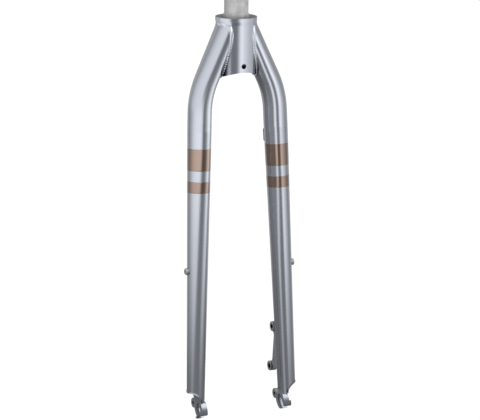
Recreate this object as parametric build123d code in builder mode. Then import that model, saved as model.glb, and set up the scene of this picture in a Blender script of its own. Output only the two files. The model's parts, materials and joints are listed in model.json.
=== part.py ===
from math import cos, radians, sin, sqrt, tan
import os

from build123d import *

os.makedirs("parts", exist_ok=True)

# Rigid bicycle fork with straight tapered blades and a disc brake bracket, in millimetres.
# The origin is the centre of the crown race shelf, +Z points up the steerer, -Y is forward
# and +X is the rider's left, the side of the brake bracket.

# Steerer
steerer_diameter = 28.6
steerer_length = 220.0
steerer_wall = 2.5
steerer_butt_wall = 3.2
steerer_butt_length = 70.0
race_seat_diameter = 30.0
race_seat_height = 4.2
steerer_press_diameter = 31.0
steerer_chamfer = 0.8

# Crown
crown_diameter = 47.4
crown_lip_diameter = 49.2
crown_lip_height = 2.4
crown_neck_drop = 10.0
crown_arch_drop = 63.6
crown_arch_radius = 45.0
crown_side_drop = 72.0
fender_hole_diameter = 6.0
fender_hole_drop = 56.2

# Blade axis, drawn in a plane that leans forward from the crown
blade_lean = 3.53
shoulder_half_span = 47.8
shoulder_drop = 91.0
shoulder_slope = 24.9
shoulder_bend_radius = 100.0
blade_root_half_span = 6.0

# Blade section
blade_wall = 2.2
root_width = 26.6
root_depth = 36.0
blade_diameter = 28.4
tip_diameter = 21.0
taper_start_drop = 132.0

# Wheel seat
hub_width = 100.0
axle_drop = 462.0
blade_outboard = 10.0
plate_thickness = 7.0
axle_slot_width = 9.4
axle_slot_slope = 50.0
axle_slot_reach = 22.0

# Blade end, scooped round the outside of the dropout
scoop_radius = 13.3
scoop_rise = 7.6
hood_thickness = 1.8
hood_step = 0.3
blade_end_rise = 2.0
hub_recess_diameter = 20.0
hub_flat_rise = 13.0
plate_tongue_width = 16.4

# Dropout ears
eyelet_diameter = 12.0
eyelet_setback = 14.4
eyelet_rise = 1.8
m5_thread_diameter = 4.2
prong_front_setback = -14.3
prong_front_rise = -5.2
prong_front_bulge = 1.3
prong_end_rise = -7.4
prong_rear_setback = -0.6
prong_rear_rise = -13.2
prong_tip_setback = -5.4
prong_tip_rise = -12.4
prong_heel_setback = 5.4
prong_heel_rise = -10.0
lip_start = 8.8
lip_height = 2.4

# Disc brake bracket
bracket_hole_spacing = 51.0
bracket_hole_diameter = 6.2
bracket_tilt = 6.2
bracket_low_setback = 30.2
bracket_low_rise = 32.2
bracket_boss_diameter = 12.0
bracket_boss_length = 7.5
bracket_web_thickness = 5.0
bracket_web_inset = 1.5
bracket_edge_inset = 4.0
bracket_fillet = 5.0
bracket_top_run = 3.0
bracket_foot_lift = 7.5
bracket_root_depth = 12.0

# Rack bosses
rack_boss_drop = 297.2
rack_boss_diameter = 8.0
rack_boss_height = 3.4
rack_boss_stem_diameter = 6.4
rack_boss_tail = 3.0

# Brake hose guide
guide_drop = 143.1
guide_length = 15.6
guide_width = 8.4
guide_height = 3.0
guide_groove_diameter = 5.2
guide_bearing = 112.0
guide_end_chamfer = 1.4

# Painted film bands
guide_band_gap = 1.2
wide_band_height = 26.0
band_gap = 12.6
narrow_band_height = 13.4
band_film = 0.16
band_seat = 0.02

# Weld beads
crown_bead = 1.5
tip_bead_height = 0.5
bracket_bead = 1.6
guide_bead = 1.2

# Values worked out from the sizes above
hub_face = hub_width / 2
axle_forward = axle_drop * tan(radians(blade_lean))
tip_half_span = hub_face + blade_outboard
steerer_bore_diameter = steerer_diameter - 2 * steerer_wall
butt_bore_diameter = steerer_diameter - 2 * steerer_butt_wall
band_top_drop = guide_drop + guide_length / 2 + guide_band_gap
blade_plane = Plane(
    origin=(0, 0, 0),
    x_dir=(1, 0, 0),
    z_dir=(0, -cos(radians(blade_lean)), sin(radians(blade_lean))),
)
lean_stretch = 1 / cos(radians(blade_lean))
side_view = Plane.YZ


def side_point(setback, rise):
    """A point of the side view, measured back and up from the wheel axle."""
    return (setback - axle_forward, rise - axle_drop)


def blade_axis():
    """Run the left blade's centre line from the crown, over the shoulder bend, to the tip."""
    shoulder_down = -shoulder_drop * lean_stretch
    root_up = shoulder_down + (shoulder_half_span - blade_root_half_span) / tan(radians(shoulder_slope))
    splay = (tip_half_span - shoulder_half_span) / (axle_drop - shoulder_drop)
    tail_down = -(axle_drop + scoop_radius) * lean_stretch
    with BuildLine(blade_plane) as axis:
        FilletPolyline(
            (blade_root_half_span, root_up),
            (shoulder_half_span, shoulder_down),
            (tip_half_span + splay * scoop_radius, tail_down),
            radius=shoulder_bend_radius,
        )
    return axis.line


axis_line = blade_axis()
root_drop = -(axis_line @ 0).Z
tip_drop = -(axis_line @ 1).Z


def axis_share(drop):
    """Find how far along the centre line, from 0 to 1, the blade passes a given drop."""
    low = 0.0
    high = 1.0
    for _ in range(50):
        middle = (low + high) / 2
        if -(axis_line @ middle).Z < drop:
            low = middle
        else:
            high = middle
    return middle


def section_plane(drop):
    """The plane square to the blade at a given drop, with its x axis across the blade."""
    share = axis_share(drop)
    along = axis_line % share
    return Plane(origin=axis_line @ share, x_dir=along.cross(blade_plane.z_dir), z_dir=along)


def blend(drop):
    """Rise smoothly from 0 at the blade's root to 1 where its taper starts."""
    share = min(max((drop - crown_neck_drop) / (taper_start_drop - crown_neck_drop), 0), 1)
    return share * share * (3 - 2 * share)


def section_half_sizes(drop):
    """Half width and half depth: oval at the crown, round below, then a straight taper."""
    if drop < taper_start_drop:
        width = root_width + (blade_diameter - root_width) * blend(drop)
        depth = root_depth + (blade_diameter - root_depth) * blend(drop)
        return width / 2, depth / 2
    share = (drop - taper_start_drop) / (axle_drop - taper_start_drop)
    diameter = blade_diameter + (tip_diameter - blade_diameter) * share
    return diameter / 2, diameter / 2


def blade_solid(growth, top_drop=None, bottom_drop=None):
    """The solid inside the left blade's surface, grown or shrunk, between two drops."""
    top = root_drop if top_drop is None else top_drop
    bottom = tip_drop if bottom_drop is None else bottom_drop
    shoulder_stations = 9
    step = (taper_start_drop - top) / shoulder_stations
    drops = [top + step * i for i in range(shoulder_stations + 1)] if step > 0 else [top]
    with BuildPart() as solid:
        if step > 0:
            for drop in drops:
                half_width, half_depth = section_half_sizes(drop)
                with BuildSketch(section_plane(drop)):
                    Ellipse(half_width + growth, half_depth + growth)
            loft()
        for drop in (drops[-1], bottom):
            half_width, half_depth = section_half_sizes(drop)
            with BuildSketch(section_plane(drop)):
                Circle(half_width + growth)
        loft(ruled=True)
    return solid.part


def crown_envelope(growth=0.0):
    """The crown's outer form: a lip that carries the race, a waist and a straight barrel."""
    waist = crown_diameter / 2 + growth
    with BuildPart() as envelope:
        with BuildSketch(Plane.XZ):
            with BuildLine():
                Polyline(
                    (waist, -crown_neck_drop),
                    (waist, -crown_side_drop),
                    (0, -crown_side_drop),
                    (0, 0),
                    (crown_lip_diameter / 2 + growth, 0),
                    (crown_lip_diameter / 2 + growth, -crown_lip_height),
                )
                Spline(
                    (crown_lip_diameter / 2 + growth, -crown_lip_height),
                    (waist, -crown_neck_drop),
                    tangents=((-0.35, -1), (0, -1)),
                )
            make_face()
        revolve(axis=Axis.Z)
    return envelope.part


def tyre_arch():
    """The round relief across the underside of the crown, which clears the tyre."""
    with BuildPart() as arch:
        with BuildSketch(Plane.XZ):
            with Locations((0, -crown_arch_drop - crown_arch_radius)):
                Circle(crown_arch_radius)
        extrude(amount=crown_diameter, both=True)
    return arch.part


def fender_bore():
    """The hole for the mudguard bolt, front to back through crown and steerer."""
    with BuildPart() as bore:
        with BuildSketch(Plane.XZ):
            with Locations((0, -fender_hole_drop)):
                Circle(fender_hole_diameter / 2)
        extrude(amount=crown_diameter, both=True)
    return bore.part


left_blade_solid = blade_solid(0)
left_blade_bore = blade_solid(-blade_wall)
crown_solid = crown_envelope()
arch_cut = tyre_arch()
fender_cut = fender_bore()


def build_steerer():
    """Turned steerer: thick butt in the crown, wider race seat, thin wall above."""
    outer = steerer_diameter / 2
    seat = race_seat_diameter / 2
    press = steerer_press_diameter / 2
    bore = steerer_bore_diameter / 2
    butt = butt_bore_diameter / 2
    butt_end = steerer_butt_length
    with BuildPart() as steerer:
        with BuildSketch(Plane.XZ):
            with BuildLine():
                Polyline(
                    (butt, -crown_side_drop),
                    (press, -crown_side_drop),
                    (press, 0),
                    (seat, 0),
                    (seat, race_seat_height - steerer_chamfer),
                    (outer, race_seat_height),
                    (outer, steerer_length - steerer_chamfer),
                    (outer - steerer_chamfer, steerer_length),
                    (bore, steerer_length),
                    (bore, butt_end + 2 * steerer_wall),
                    (butt, butt_end),
                    close=True,
                )
            make_face()
        revolve(axis=Axis.Z)
        add(arch_cut, mode=Mode.SUBTRACT)
        add(fender_cut, mode=Mode.SUBTRACT)
    return steerer.part


def build_crown():
    """Crown barrel, bored for the steerer, arched below and drilled for the mudguard bolt."""
    with BuildPart() as crown:
        add(crown_solid)
        with BuildSketch(Plane.XY):
            Circle(steerer_press_diameter / 2)
        extrude(amount=-crown_side_drop, mode=Mode.SUBTRACT)
        add(arch_cut, mode=Mode.SUBTRACT)
        add(fender_cut, mode=Mode.SUBTRACT)
    return crown.part


def scoop_cylinder(radius):
    """A cylinder that lies fore and aft outside the dropout and hollows the blade's end."""
    outboard = hub_face + plate_thickness + hood_step + scoop_radius - hood_thickness
    centre = (outboard, scoop_rise - axle_drop)
    with BuildPart() as scoop:
        with BuildSketch(Plane.XZ.offset(axle_forward)):
            with Locations(centre):
                Circle(radius)
        extrude(amount=blade_diameter, both=True)
    return scoop.part


def outer_block(inner_face, top_rise):
    """Everything outboard of one face and below one height above the axle."""
    size = 2 * blade_diameter
    with BuildPart() as block:
        with BuildSketch(side_view.offset(inner_face)):
            with Locations(side_point(0, top_rise - size)):
                Rectangle(2 * size, 2 * size)
        extrude(amount=size)
    return block.part


def inner_block(outer_face, top_rise):
    """Everything inboard of one face and below one height above the axle."""
    size = 2 * blade_diameter
    with BuildPart() as block:
        with BuildSketch(side_view.offset(outer_face)):
            with Locations(side_point(0, top_rise - size)):
                Rectangle(2 * size, 2 * size)
        extrude(amount=-size)
    return block.part


def plate_outline():
    """Side outline of the dropout's two prongs and eyelet, below the blade."""
    tongue = plate_tongue_width / 2
    eyelet = eyelet_diameter / 2
    front_top = (-tongue, hub_flat_rise - eyelet)
    front_toe = (prong_front_setback, prong_front_rise)
    middle_rise = (front_top[1] + front_toe[1]) / 2
    front_middle = ((front_top[0] + front_toe[0]) / 2 - prong_front_bulge, middle_rise)
    with BuildSketch() as outline:
        with BuildLine():
            ThreePointArc(front_top, front_middle, front_toe)
            Polyline(
                front_toe,
                (prong_front_setback + 1.6, prong_end_rise),
                (prong_front_setback / 2, prong_end_rise - 1.0),
                (prong_tip_setback, prong_tip_rise),
                (prong_rear_setback, prong_rear_rise),
            )
            ThreePointArc(
                (prong_rear_setback, prong_rear_rise),
                (prong_heel_setback, prong_heel_rise),
                (eyelet_setback - eyelet * 0.7, eyelet_rise - eyelet * 0.9),
            )
            Polyline(
                (eyelet_setback - eyelet * 0.7, eyelet_rise - eyelet * 0.9),
                (eyelet_setback, eyelet_rise),
                (eyelet_setback, eyelet_rise + eyelet),
                (tongue, hub_flat_rise - eyelet / 2),
                front_top,
            )
        make_face()
        with Locations((eyelet_setback, eyelet_rise)):
            Circle(eyelet)
    return outline.sketch


def axle_slot():
    """The open slot that the axle drops out of, forward and down."""
    with BuildSketch() as slot:
        Circle(axle_slot_width / 2)
        with Locations(Rotation(0, 0, 180 + axle_slot_slope)):
            with Locations((axle_slot_reach / 2, 0)):
                Rectangle(axle_slot_reach, axle_slot_width)
    return slot.sketch


def build_dropout(side_solid):
    """Forged dropout: slotted plate, eyelet ear, hood in the blade's scoop and wheel safety lips."""
    plate_plane = Plane(
        origin=(hub_face, -axle_forward, -axle_drop),
        x_dir=(0, 1, 0),
        z_dir=(1, 0, 0),
    )
    outline = plate_outline()
    with BuildPart() as hood:
        add(side_solid)
        add(scoop_cylinder(scoop_radius), mode=Mode.INTERSECT)
        add(outer_block(hub_face + plate_thickness, scoop_radius + scoop_rise), mode=Mode.INTERSECT)
        add(scoop_cylinder(scoop_radius - hood_thickness), mode=Mode.SUBTRACT)
        with BuildSketch(Plane.XY.offset(scoop_rise - axle_drop)):
            with Locations((hub_face, -axle_forward)):
                Rectangle(4 * blade_diameter, 4 * blade_diameter)
        extrude(amount=-4 * scoop_radius, mode=Mode.SUBTRACT)
    with BuildPart() as dropout:
        with BuildSketch(plate_plane):
            with Locations((0, (hub_flat_rise + blade_end_rise) / 2)):
                Rectangle(plate_tongue_width, hub_flat_rise - blade_end_rise)
        extrude(amount=plate_thickness)
        add(side_solid, mode=Mode.INTERSECT)
        with BuildSketch(plate_plane):
            add(outline)
        extrude(amount=plate_thickness)
        with BuildSketch(plate_plane.offset(plate_thickness)):
            add(outline)
            with Locations(Rotation(0, 0, 180 + axle_slot_slope)):
                with Locations((lip_start + axle_slot_reach, 0)):
                    Rectangle(2 * axle_slot_reach, 4 * axle_slot_reach, mode=Mode.INTERSECT)
        extrude(amount=lip_height)
        add(hood.part)
        with BuildSketch(plate_plane.offset(-lip_height)):
            add(axle_slot())
        extrude(amount=plate_thickness + 3 * lip_height, mode=Mode.SUBTRACT)
        with BuildSketch(plate_plane.offset(-lip_height)):
            with Locations((eyelet_setback, eyelet_rise)):
                Circle(m5_thread_diameter / 2)
        extrude(amount=plate_thickness + 3 * lip_height, mode=Mode.SUBTRACT)
    return dropout.part


def build_blade(side_solid, side_bore, dropout):
    """Hollow blade, mitred to the crown, scooped and slotted at the tip for the dropout."""
    with BuildPart() as blade:
        add(side_solid)
        add(side_bore, mode=Mode.SUBTRACT)
        with BuildSketch(Plane.XY.offset(-crown_neck_drop)):
            Circle(crown_diameter / 2)
        extrude(amount=-shoulder_drop, mode=Mode.SUBTRACT)
        add(crown_solid, mode=Mode.SUBTRACT)
        add(scoop_cylinder(scoop_radius), mode=Mode.SUBTRACT)
        add(outer_block(hub_face + plate_thickness, scoop_rise), mode=Mode.SUBTRACT)
        add(inner_block(hub_face + plate_thickness, blade_end_rise), mode=Mode.SUBTRACT)
        with BuildSketch(side_view.offset(hub_face + plate_thickness)):
            with Locations(side_point(0, 0)):
                Circle(hub_recess_diameter / 2)
        extrude(amount=-blade_diameter, mode=Mode.SUBTRACT)
        add(inner_block(hub_face, hub_flat_rise), mode=Mode.SUBTRACT)
        add(dropout, mode=Mode.SUBTRACT)
        with BuildSketch(side_view):
            with Locations((rack_boss_axis.Y, rack_boss_axis.Z)):
                Circle(rack_boss_stem_diameter / 2)
        extrude(amount=2 * tip_half_span, mode=Mode.SUBTRACT)
    return largest_solids(blade.part)


def blade_part_beside(blade, kept_side):
    """Keep the bent shoulder above the taper's start, or the straight tapered tube below it."""
    with BuildPart() as half:
        add(blade)
        split(bisect_by=section_plane(taper_start_drop), keep=kept_side)
    return half.part


def largest_solids(part, count=1):
    """Keep the main solids where a cut leaves crumbs."""
    with BuildPart() as kept:
        add(part.solids().sort_by(SortBy.VOLUME)[-count:])
    return kept.part


rack_boss_axis = axis_line @ axis_share(rack_boss_drop)


def build_rack_boss(side_solid):
    """Turned boss with a saddle seat, its stem through the blade's outer wall."""
    half_width, _ = section_half_sizes(rack_boss_drop)
    surface = rack_boss_axis.X + half_width
    head_end = surface + rack_boss_height
    stem_start = surface - blade_wall - rack_boss_tail
    with BuildPart() as boss:
        with BuildSketch(side_view.offset(rack_boss_axis.X)):
            with Locations((rack_boss_axis.Y, rack_boss_axis.Z)):
                Circle(rack_boss_diameter / 2)
        extrude(amount=head_end - rack_boss_axis.X)
        chamfer(boss.edges().filter_by(GeomType.CIRCLE).sort_by(Axis.X)[-1], length=0.6)
        add(side_solid, mode=Mode.SUBTRACT)
        with BuildSketch(side_view.offset(stem_start)):
            with Locations((rack_boss_axis.Y, rack_boss_axis.Z)):
                Circle(rack_boss_stem_diameter / 2)
        extrude(amount=surface - stem_start + rack_boss_height / 2)
        with BuildSketch(side_view.offset(stem_start - 1)):
            with Locations((rack_boss_axis.Y, rack_boss_axis.Z)):
                Circle(m5_thread_diameter / 2)
        extrude(amount=head_end - stem_start + 2, mode=Mode.SUBTRACT)
    return boss.part


def bracket_boss_fillet(centre, back, up):
    """The three points of the fillet that runs from a boss into the web's straight edge."""
    boss = bracket_boss_diameter / 2
    sideways = bracket_fillet - bracket_edge_inset
    reach = boss + bracket_fillet
    middle = centre + back * sideways + up * sqrt(reach**2 - sideways**2)
    on_boss = centre + (middle - centre) * (boss / reach)
    on_edge = middle - back * bracket_fillet
    between = (on_boss - middle + on_edge - middle).normalized()
    return on_boss, middle + between * bracket_fillet, on_edge


def bracket_outline():
    """Side outline of the brake bracket: two bosses on a web with a straight rear edge."""
    boss = bracket_boss_diameter / 2
    tilt = radians(bracket_tilt)
    up = Vector(-sin(tilt), cos(tilt))
    back = Vector(cos(tilt), sin(tilt))
    low = Vector(bracket_low_setback, bracket_low_rise)
    high = low + up * bracket_hole_spacing
    low_points = bracket_boss_fillet(low, back, up)
    high_points = bracket_boss_fillet(high, back, -up)
    top_rise = high.Y + boss + bracket_top_run
    foot_rise = low.Y - boss + bracket_foot_lift
    with BuildSketch() as outline:
        with BuildLine():
            ThreePointArc(*low_points)
            Line(low_points[2], high_points[2])
            ThreePointArc(*high_points)
            ThreePointArc(high_points[0], high + back * boss, high + up * boss)
            Polyline(
                high + up * boss,
                (blade_rear(top_rise), top_rise),
                (blade_rear(top_rise) - bracket_root_depth, top_rise),
                (blade_rear(foot_rise) - bracket_root_depth, foot_rise),
                (blade_rear(foot_rise), foot_rise),
                low - up * boss,
            )
            ThreePointArc(low - up * boss, low + back * boss, low_points[0])
        make_face()
    return outline.sketch, low, high


def blade_rear(rise):
    """Setback of the blade's rear surface behind the axle at a height above the axle."""
    drop = axle_drop - rise
    centre = axis_line @ axis_share(drop)
    _, half_depth = section_half_sizes(drop)
    return centre.Y + axle_forward + half_depth


bracket_plane = Plane(
    origin=(hub_face, -axle_forward, -axle_drop),
    x_dir=(0, 1, 0),
    z_dir=(1, 0, 0),
)


def build_bracket(side_solid):
    """Brake bracket: thin web, two thicker bosses with through holes, seated on the blade."""
    outline, low, high = bracket_outline()
    with BuildPart() as bracket:
        with BuildSketch(bracket_plane.offset(bracket_web_inset)):
            add(outline)
        extrude(amount=bracket_web_thickness)
        with BuildSketch(bracket_plane):
            with Locations(low, high):
                Circle(bracket_boss_diameter / 2)
        extrude(amount=bracket_boss_length)
        add(side_solid, mode=Mode.SUBTRACT)
        with BuildSketch(bracket_plane.offset(-1)):
            with Locations(low, high):
                Circle(bracket_hole_diameter / 2)
        extrude(amount=bracket_boss_length + 2, mode=Mode.SUBTRACT)
    return bracket.part


def build_bracket_weld(side_solid, bracket):
    """Fillet beads along both faces of the bracket's web, where it meets the blade."""
    outline, _, _ = bracket_outline()
    with BuildPart() as bead:
        with BuildSketch(bracket_plane.offset(bracket_web_inset - bracket_bead)):
            add(outline)
        extrude(amount=bracket_web_thickness + 2 * bracket_bead)
        add(blade_solid(bracket_bead, taper_start_drop), mode=Mode.INTERSECT)
        add(side_solid, mode=Mode.SUBTRACT)
        add(bracket, mode=Mode.SUBTRACT)
    return bead.part


def guide_end():
    """The plane of the hose guide's upper end, with its y axis pointing away from the blade."""
    centre = axis_line @ axis_share(guide_drop)
    along = axis_line % axis_share(guide_drop)
    outward = Vector(cos(radians(guide_bearing)), sin(radians(guide_bearing)), 0)
    start = centre - along * (guide_length / 2)
    return Plane(origin=start, x_dir=outward.cross(along), z_dir=along)


def build_guide(side_solid):
    """Saddle for the brake hose: a low block with a round groove along the blade."""
    half_width, _ = section_half_sizes(guide_drop)
    top = half_width + guide_height
    guide_plane = guide_end()
    with BuildPart() as guide:
        with BuildSketch(guide_plane):
            with BuildLine():
                Polyline(
                    (-guide_width / 2 - 0.8, half_width / 2),
                    (guide_width / 2 + 0.8, half_width / 2),
                    (guide_width / 2, top),
                    (-guide_width / 2, top),
                    close=True,
                )
            make_face()
            with Locations((0, top + guide_groove_diameter / 6)):
                Circle(guide_groove_diameter / 2, mode=Mode.SUBTRACT)
        extrude(amount=guide_length)
        end_edges = guide.edges().filter_by(lambda e: abs(e.tangent_at(0.5).dot(guide_plane.z_dir)) < 0.1)
        high_edges = end_edges.filter_by(lambda e: guide_plane.to_local_coords(e.center()).Y > top - 2)
        chamfer(high_edges, length=guide_end_chamfer)
        add(side_solid, mode=Mode.SUBTRACT)
    return guide.part


def build_guide_weld(side_solid, guide):
    """Fillet beads along both long edges of the hose guide."""
    half_width, _ = section_half_sizes(guide_drop)
    with BuildPart() as bead:
        with BuildSketch(guide_end().offset(guide_end_chamfer)):
            with Locations((0, half_width)):
                Rectangle(guide_width + 1.6 + 2 * guide_bead, 2 * half_width)
        extrude(amount=guide_length - 2 * guide_end_chamfer)
        add(blade_solid(guide_bead, taper_start_drop), mode=Mode.INTERSECT)
        add(side_solid, mode=Mode.SUBTRACT)
        add(guide, mode=Mode.SUBTRACT)
    return largest_solids(bead.part, 2)


def build_band(top_drop, height):
    """A thin painted film that wraps the blade between two drops."""
    bottom_drop = top_drop + height
    with BuildPart() as band:
        add(blade_solid(band_film, top_drop, bottom_drop))
        add(blade_solid(band_seat, top_drop, bottom_drop), mode=Mode.SUBTRACT)
    return band.part


def build_crown_weld(side_solid):
    """Fillet bead all round the joint of blade and crown."""
    with BuildPart() as bead:
        add(blade_solid(crown_bead, root_drop, taper_start_drop + 1))
        add(crown_envelope(crown_bead), mode=Mode.INTERSECT)
        with BuildSketch(Plane.XY.offset(-crown_neck_drop)):
            Circle(crown_diameter / 2)
        extrude(amount=-crown_side_drop, mode=Mode.SUBTRACT)
        add(crown_solid, mode=Mode.SUBTRACT)
        add(side_solid, mode=Mode.SUBTRACT)
        add(arch_cut, mode=Mode.SUBTRACT)
    return largest_solids(bead.part)


def build_tip_weld(side_solid, dropout):
    """Bead that follows the scooped end of the blade round the dropout's hood."""
    with BuildPart() as bead:
        add(blade_solid(tip_bead_height, rack_boss_drop))
        add(side_solid, mode=Mode.SUBTRACT)
        add(scoop_cylinder(scoop_radius), mode=Mode.INTERSECT)
        add(scoop_cylinder(scoop_radius - hood_thickness), mode=Mode.SUBTRACT)
        add(outer_block(hub_face + plate_thickness, 2 * scoop_radius), mode=Mode.INTERSECT)
        with BuildSketch(Plane.XY.offset(scoop_rise - axle_drop)):
            with Locations((hub_face, -axle_forward)):
                Rectangle(4 * blade_diameter, 4 * blade_diameter)
        extrude(amount=-4 * scoop_radius, mode=Mode.SUBTRACT)
        add(dropout, mode=Mode.SUBTRACT)
    return bead.part


def save(part, name, mirrored=False):
    """Label one finished piece and write it as a STEP file."""
    with BuildPart() as piece:
        if mirrored:
            mirror(part, about=Plane.YZ)
        else:
            add(part)
    piece.part.label = name
    export_step(piece.part, f"parts/{name}.step")


dropout_part = build_dropout(left_blade_solid)
whole_blade = build_blade(left_blade_solid, left_blade_bore, dropout_part)
shoulder_part = blade_part_beside(whole_blade, Keep.BOTTOM)
blade_part = blade_part_beside(whole_blade, Keep.TOP)
rack_boss_part = build_rack_boss(left_blade_solid)
bracket_part = build_bracket(left_blade_solid)
guide_part = build_guide(left_blade_solid)
wide_band_part = build_band(band_top_drop, wide_band_height)
narrow_band_part = build_band(band_top_drop + wide_band_height + band_gap, narrow_band_height)
crown_weld_part = build_crown_weld(left_blade_solid)
tip_weld_part = build_tip_weld(left_blade_solid, dropout_part)

save(build_steerer(), "steerer_tube")
save(build_crown(), "crown")
for side in ("left", "right"):
    flip = side == "right"
    save(shoulder_part, f"shoulder_{side}", flip)
    save(blade_part, f"blade_{side}", flip)
    save(dropout_part, f"dropout_{side}", flip)
    save(rack_boss_part, f"rack_boss_{side}", flip)
    save(wide_band_part, f"band_wide_{side}", flip)
    save(narrow_band_part, f"band_narrow_{side}", flip)
    save(crown_weld_part, f"crown_weld_{side}", flip)
    save(tip_weld_part, f"tip_weld_{side}", flip)
save(bracket_part, "disc_bracket")
save(build_bracket_weld(left_blade_solid, bracket_part), "bracket_weld")
save(guide_part, "hose_guide")
save(build_guide_weld(left_blade_solid, guide_part), "guide_weld")
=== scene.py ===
import bpy
import json
import math
import numpy as np
from mathutils import Matrix, Vector

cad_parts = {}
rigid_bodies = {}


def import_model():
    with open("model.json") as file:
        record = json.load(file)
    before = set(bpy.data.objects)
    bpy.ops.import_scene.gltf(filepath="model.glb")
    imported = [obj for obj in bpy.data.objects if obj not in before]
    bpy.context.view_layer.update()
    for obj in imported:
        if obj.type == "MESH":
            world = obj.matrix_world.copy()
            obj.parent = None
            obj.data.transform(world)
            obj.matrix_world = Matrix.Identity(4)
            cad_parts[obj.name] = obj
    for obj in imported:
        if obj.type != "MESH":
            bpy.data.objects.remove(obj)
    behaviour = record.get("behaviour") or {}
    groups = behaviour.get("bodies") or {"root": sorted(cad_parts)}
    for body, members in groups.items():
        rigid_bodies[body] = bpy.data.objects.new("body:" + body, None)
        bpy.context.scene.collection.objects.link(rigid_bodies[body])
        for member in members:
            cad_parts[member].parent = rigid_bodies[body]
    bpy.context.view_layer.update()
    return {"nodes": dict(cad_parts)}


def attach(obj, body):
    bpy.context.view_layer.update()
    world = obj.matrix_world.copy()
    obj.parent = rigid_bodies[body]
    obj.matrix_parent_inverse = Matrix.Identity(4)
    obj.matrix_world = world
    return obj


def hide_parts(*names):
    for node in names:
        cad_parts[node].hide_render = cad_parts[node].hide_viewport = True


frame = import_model()
print("frame loaded:", len(frame["nodes"]), "nodes")

mm = 0.001
sides = {"left": 1, "right": -1}  # the rider's left is +X

# an edge that turns by more degrees than this stays sharp
sharpEdge = {"tube": 40, "band": 60, "bead": 70, "crown": 35, "steerer": 25, "solid": 30}


def unit(v):
    # each vector divided by its own length
    return v / np.linalg.norm(v, axis=-1, keepdims=True)


def addObject(name, data):
    # a mesh, light or camera put into the scene
    thing = bpy.data.objects.new(name, data)
    bpy.context.scene.collection.objects.link(thing)
    return thing


def addGrid(name, points, closeU=False, closeV=False):
    # a grid of points (rows, columns, 3) in millimetres becomes quads; closeU joins the last row to the first
    # and closeV the last column to the first
    rows, cols = points.shape[:2]
    index = np.arange(rows * cols).reshape(rows, cols)
    if closeU:
        index = np.vstack([index, index[:1]])
    if closeV:
        index = np.hstack([index, index[:, :1]])
    quads = np.stack([index[:-1, :-1], index[:-1, 1:], index[1:, 1:], index[1:, :-1]], -1).reshape(-1, 4)
    mesh = bpy.data.meshes.new(name)
    mesh.vertices.add(rows * cols)
    mesh.vertices.foreach_set("co", (points.reshape(-1, 3) * mm).ravel())
    mesh.loops.add(quads.size)
    mesh.loops.foreach_set("vertex_index", quads.ravel())
    mesh.polygons.add(len(quads))
    mesh.polygons.foreach_set("loop_start", np.arange(len(quads)) * 4)
    mesh.polygons.foreach_set("loop_total", np.full(len(quads), 4))
    mesh.update(calc_edges=True)
    mesh.validate()
    return addObject(name, mesh)


def smooth(thing, angle):
    # shaded smooth, except over edges that turn by more than the angle
    thing.data.shade_smooth()
    thing.data.set_sharp_from_angle(angle=math.radians(angle))


def applyModifiers(thing):
    # the mesh that the modifiers give takes the place of the one they started from
    mesh = bpy.data.meshes.new_from_object(thing.evaluated_get(bpy.context.evaluated_depsgraph_get()))
    thing.modifiers.clear()
    thing.data = mesh


def addTube(name, side, points, angle):
    # rows of points round the left blade, closed round it; the right one is its mirror image, x times the
    # side, with the columns in the other order so that its faces point outwards too
    if side < 0:
        points = points[:, ::-1]
    thing = addGrid(name, points * np.array([side, 1, 1]), closeV=True)
    smooth(thing, angle)
    return thing


def dress(thing, material, node):
    # every piece rides on the one body, takes one material and stands for one solid
    thing.data.materials.clear()
    thing.data.materials.append(material)
    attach(thing, "root")
    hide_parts(node)


def newMaterial(name):
    # a fresh material with its nodes, links and main shader; each function down to calc adds one step to such
    # a tree and hands back its output
    material = bpy.data.materials.new(name)
    material.use_nodes = True
    nodes = material.node_tree.nodes
    return material, nodes, material.node_tree.links, nodes["Principled BSDF"]


def objectSpace(nodes, links, stretch=(1, 1, 1)):
    # the piece's own coordinates, each multiplied by its stretch: a small one draws a pattern out that way
    place = nodes.new("ShaderNodeTexCoord")
    mapping = nodes.new("ShaderNodeMapping")
    mapping.inputs["Scale"].default_value = stretch
    links.new(place.outputs["Object"], mapping.inputs["Vector"])
    return mapping.outputs["Vector"]


def noise(nodes, links, vector, scale, detail, rough=0.5):
    # soft clouds of so many cells a metre, with detail finer layers, each rough times as strong as the last
    texture = nodes.new("ShaderNodeTexNoise")
    texture.inputs["Scale"].default_value = scale
    texture.inputs["Detail"].default_value = detail
    texture.inputs["Roughness"].default_value = rough
    links.new(vector, texture.inputs["Vector"])
    return texture.outputs["Fac"]


def stretchedNoise(nodes, links, pattern):
    # noise on the piece's stretched coordinates
    space = objectSpace(nodes, links, pattern["stretch"])
    return noise(nodes, links, space, pattern["scale"], pattern["detail"], pattern["rough"])


def greyRamp(nodes, links, value, stops):
    # straight lines of brightness between (position, brightness) stops
    shade = nodes.new("ShaderNodeValToRGB")
    elements = shade.color_ramp.elements
    while len(elements) < len(stops):
        elements.new(0.5)
    for element, (at, share) in zip(elements, stops):
        element.position = at
        element.color = (share, share, share, 1)
    links.new(value, shade.inputs["Fac"])
    return shade.outputs["Color"]


def ranged(nodes, links, value, low, high, start=0.0, end=1.0):
    # low where the value is start, high where it is end, and in proportion between; low may be an output
    shift = nodes.new("ShaderNodeMapRange")
    shift.inputs["From Min"].default_value = start
    shift.inputs["From Max"].default_value = end
    if isinstance(low, (int, float)):
        shift.inputs["To Min"].default_value = low
    else:
        links.new(low, shift.inputs["To Min"])
    shift.inputs["To Max"].default_value = high
    links.new(value, shift.inputs["Value"])
    return shift.outputs["Result"]


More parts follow.
